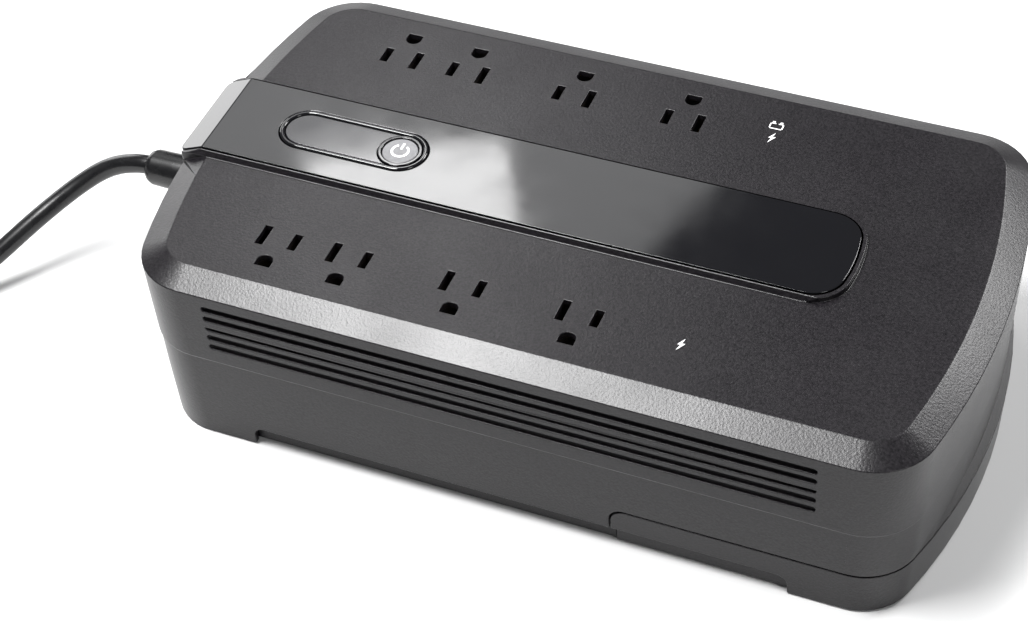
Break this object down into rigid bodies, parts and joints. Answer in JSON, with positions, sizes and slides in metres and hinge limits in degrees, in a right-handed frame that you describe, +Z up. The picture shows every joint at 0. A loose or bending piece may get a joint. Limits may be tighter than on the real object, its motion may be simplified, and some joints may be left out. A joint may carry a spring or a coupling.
{
  "type": "uninterruptible power supply",
  "caption": "Desktop uninterruptible power supply: low black case with two rows of top outlets, a glossy raised band with status window and button, battery door and mains lead.",
  "frame": {"origin": "middle of the case in plan, at the floor it stands on", "axes": "+X from the cord end to the battery door end, +Y to the back outlet row, +Z up"},
  "size_m": [0.5529, 0.2134, 0.0862],
  "materials": {
    "case_plastic": "fine textured black, satin",
    "tray_plastic": "textured black",
    "panel_gloss": "polished black",
    "window_smoked": "smoked, polished",
    "button_silver": "silver grey, satin",
    "lead_rubber": "black, soft sheen",
    "foot_rubber": "matt black",
    "contact_brass": "bright",
    "plug_brass": "nickel plated",
    "screw_steel": "zinc plated",
    "core_steel": "laminated, varnished",
    "winding_copper": "enamelled copper, taped",
    "board": "green solder mask",
    "part_black": "moulded black",
    "relay_blue": "moulded blue",
    "sink_aluminium": "extruded",
    "battery_case": "moulded grey",
    "lead_red": "red insulation",
    "led_clear": "clear lens"
  },
  "bodies": {
    "case": {"top_cover": "case_plastic", "base_tray": "tray_plastic", "gloss_panel": "panel_gloss", "status_bezel": "panel_gloss", "button_collar": "panel_gloss", "status_window": "window_smoked", "strain_relief": "lead_rubber", "power_cord": "lead_rubber", "cord_coil": "lead_rubber", "cord_end": "lead_rubber", "cord_tie": "lead_rubber", "plug_body": "lead_rubber", "rubber_foot_1": "foot_rubber", "rubber_foot_2": "foot_rubber", "hot_bus_front": "contact_brass", "neutral_bus_front": "contact_brass", "ground_bus_front": "contact_brass", "hot_bus_back": "contact_brass", "neutral_bus_back": "contact_brass", "ground_bus_back": "contact_brass", "battery_terminal_negative": "contact_brass", "battery_terminal_positive": "contact_brass", "plug_blade_hot": "plug_brass", "plug_blade_neutral": "plug_brass", "plug_ground_pin": "plug_brass", "case_screw_1": "screw_steel", "case_screw_2": "screw_steel", "case_screw_3": "screw_steel", "case_screw_4": "screw_steel", "transformer_core": "core_steel", "transformer_winding": "winding_copper", "filter_choke": "winding_copper", "main_board": "board", "control_board": "board", "outlet_carrier_front": "part_black", "outlet_carrier_back": "part_black", "data_port": "part_black", "phone_port_in": "part_black", "phone_port_out": "part_black", "breaker_body": "part_black", "power_switch": "part_black", "capacitor_1": "part_black", "capacitor_2": "part_black", "power_transistor_1": "part_black", "power_transistor_2": "part_black", "beeper": "part_black", "battery_lead_negative": "part_black", "relay_1": "relay_blue", "relay_2": "relay_blue", "heat_sink": "sink_aluminium", "battery": "battery_case", "battery_lead_positive": "lead_red", "status_led_1": "led_clear", "status_led_2": "led_clear"},
    "power_button": {"power_button": "button_silver"},
    "breaker_button": {"breaker_button": "part_black"},
    "battery_door": {"battery_door": "case_plastic", "rubber_foot_3": "foot_rubber", "rubber_foot_4": "foot_rubber"}
  },
  "joints": [
    {"name": "power_button_press", "type": "slide", "parent": "case", "child": "power_button", "axis": [0, 0, -1], "range_m": [0, 0.0012], "stiffness_N_per_m": 1500, "springref_m": -0.001},
    {"name": "breaker_button_pop", "type": "slide", "parent": "case", "child": "breaker_button", "axis": [-1, 0, 0], "range_m": [0, 0.004]},
    {"name": "battery_door_slide", "type": "slide", "parent": "case", "child": "battery_door", "axis": [1, 0, 0], "range_m": [0, 0.12]}
  ]
}
